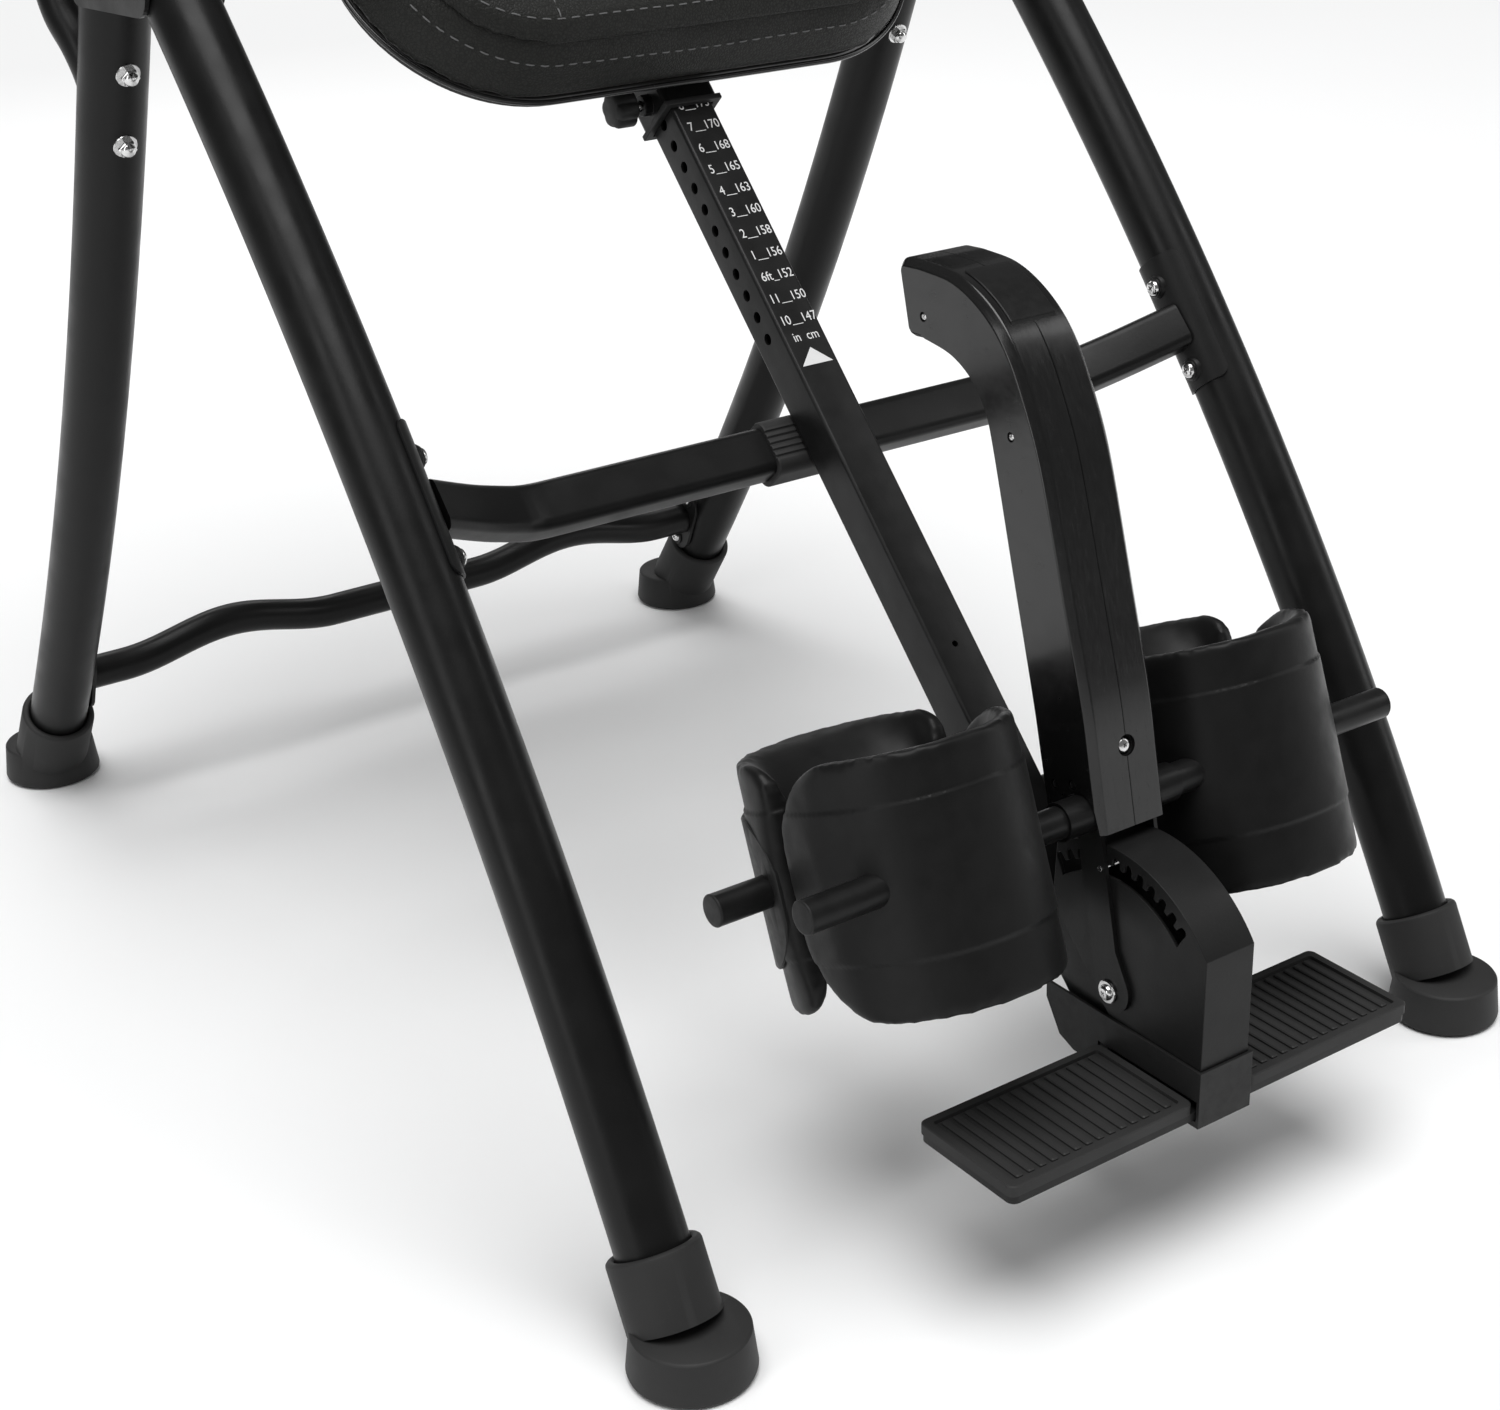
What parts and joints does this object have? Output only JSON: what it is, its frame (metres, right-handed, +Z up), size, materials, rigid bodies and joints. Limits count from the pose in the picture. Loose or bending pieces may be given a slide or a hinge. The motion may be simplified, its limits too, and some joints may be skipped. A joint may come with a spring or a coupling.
{
  "type": "inversion table",
  "caption": "Folding A-frame inversion table with a rocking padded backrest, sliding height shaft and ratcheting ankle clamp.",
  "frame": {"origin": "on the floor, below the middle of the table's length and width", "axes": "+Z up; -Y towards the foot end; +X to the right hand of a user who lies on the table"},
  "size_m": [0.737, 1.229, 1.3794],
  "materials": {
    "black_steel": "satin powder coat",
    "bright_steel": "bright",
    "gloss_black": "gloss",
    "matte_black": "matte",
    "rubber": "matte",
    "foam": "satin moulded foam",
    "leather": "grained",
    "wood": "painted dark"
  },
  "bodies": {
    "front_frame": {"front_leg_left": "black_steel", "front_leg_right": "black_steel", "front_foot_left": "rubber", "front_foot_right": "rubber", "hinge_plate_inner_left": "black_steel", "hinge_plate_inner_right": "black_steel", "hinge_plate_outer_left": "black_steel", "hinge_plate_outer_right": "black_steel", "fold_pin_left": "bright_steel", "fold_pin_right": "bright_steel", "bearing_left": "matte_black", "bearing_right": "matte_black", "front_crossbar": "black_steel", "crossbar_plate_left": "black_steel", "crossbar_plate_right": "black_steel", "crossbar_bumper": "rubber"},
    "left_cam": {"cam_lock_left": "black_steel"},
    "right_cam": {"cam_lock_right": "black_steel"},
    "rear_frame": {"rear_leg_left": "black_steel", "rear_leg_right": "black_steel", "rear_foot_left": "rubber", "rear_foot_right": "rubber", "rear_crossbar": "black_steel", "rear_crossbar_plate_left": "black_steel", "rear_crossbar_plate_right": "black_steel", "handlebar_left": "black_steel", "handlebar_right": "black_steel", "handle_grip_left": "foam", "handle_grip_right": "foam"},
    "table": {"main_shaft": "black_steel", "shaft_collar": "matte_black", "shaft_end_cap": "matte_black", "lower_strap": "black_steel", "upper_strap": "black_steel", "backrest_board": "wood", "backrest_cushion": "leather", "backrest_panel": "leather", "head_cushion": "leather", "pivot_beam_left": "black_steel", "pivot_beam_right": "black_steel", "pivot_arm_left": "black_steel", "pivot_arm_right": "black_steel"},
    "pull_pin": {"height_pin": "matte_black"},
    "height_slider": {"height_shaft": "black_steel", "foot_bracket": "black_steel", "foot_shoe": "matte_black", "footplate": "rubber", "rear_rod": "black_steel"},
    "left_heel_cuff": {"rear_cuff_left": "foam", "rear_cuff_backing_left": "matte_black"},
    "right_heel_cuff": {"rear_cuff_right": "foam", "rear_cuff_backing_right": "matte_black"},
    "ankle_swing": {"ankle_pivot_bolt": "bright_steel"},
    "ankle_clamp": {"ankle_yoke": "black_steel", "front_rod": "black_steel", "lock_pin": "bright_steel", "lever_cover_left": "gloss_black", "lever_cover_right": "gloss_black"},
    "left_shin_cuff": {"front_cuff_left": "foam"},
    "right_shin_cuff": {"front_cuff_right": "foam"}
  },
  "joints": [
    {"name": "rear_fold", "type": "hinge", "parent": "front_frame", "child": "rear_frame", "pos_m": [0, 0.107, 0.747], "axis": [1, 0, 0], "range_deg": [-60, 0]},
    {"name": "table_pivot", "type": "hinge", "parent": "front_frame", "child": "table", "pos_m": [0, 0.085, 0.83], "axis": [-1, 0, 0], "range_deg": [0, 155]},
    {"name": "height_slide", "type": "slide", "parent": "table", "child": "height_slider", "axis": [0, -0.6905, -0.7233], "range_m": [-0.12, 0.10362]},
    {"name": "pin_pull", "type": "slide", "parent": "table", "child": "pull_pin", "axis": [1, 0, 0], "range_m": [0, 0.006]},
    {"name": "ankle_opening", "type": "hinge", "parent": "height_slider", "child": "ankle_swing", "pos_m": [0, -0.5315, 0.1545], "axis": [1, 0, 0], "range_deg": [0, 48.7]},
    {"name": "ankle_lock", "type": "slide", "parent": "ankle_swing", "child": "ankle_clamp", "axis": [0, 0.2141, 0.9768], "range_m": [0, 0.0045]},
    {"name": "left_shin_swivel", "type": "hinge", "parent": "ankle_clamp", "child": "left_shin_cuff", "pos_m": [-0.125, -0.5062, 0.2699], "axis": [1, 0, 0], "range_deg": [-3, 3]},
    {"name": "right_shin_swivel", "type": "hinge", "parent": "ankle_clamp", "child": "right_shin_cuff", "pos_m": [0.125, -0.5062, 0.2699], "axis": [1, 0, 0], "range_deg": [-3, 3]},
    {"name": "left_heel_swivel", "type": "hinge", "parent": "height_slider", "child": "left_heel_cuff", "pos_m": [-0.125, -0.41267, 0.233], "axis": [1, 0, 0], "range_deg": [-3, 3]},
    {"name": "right_heel_swivel", "type": "hinge", "parent": "height_slider", "child": "right_heel_cuff", "pos_m": [0.125, -0.41267, 0.233], "axis": [1, 0, 0], "range_deg": [-3, 3]},
    {"name": "left_cam_open", "type": "hinge", "parent": "front_frame", "child": "left_cam", "pos_m": [-0.33, 0.05, 0.815], "axis": [1, 0, 0], "range_deg": [0, 75]},
    {"name": "right_cam_open", "type": "hinge", "parent": "front_frame", "child": "right_cam", "pos_m": [0.33, 0.05, 0.815], "axis": [1, 0, 0], "range_deg": [0, 75]}
  ]
}
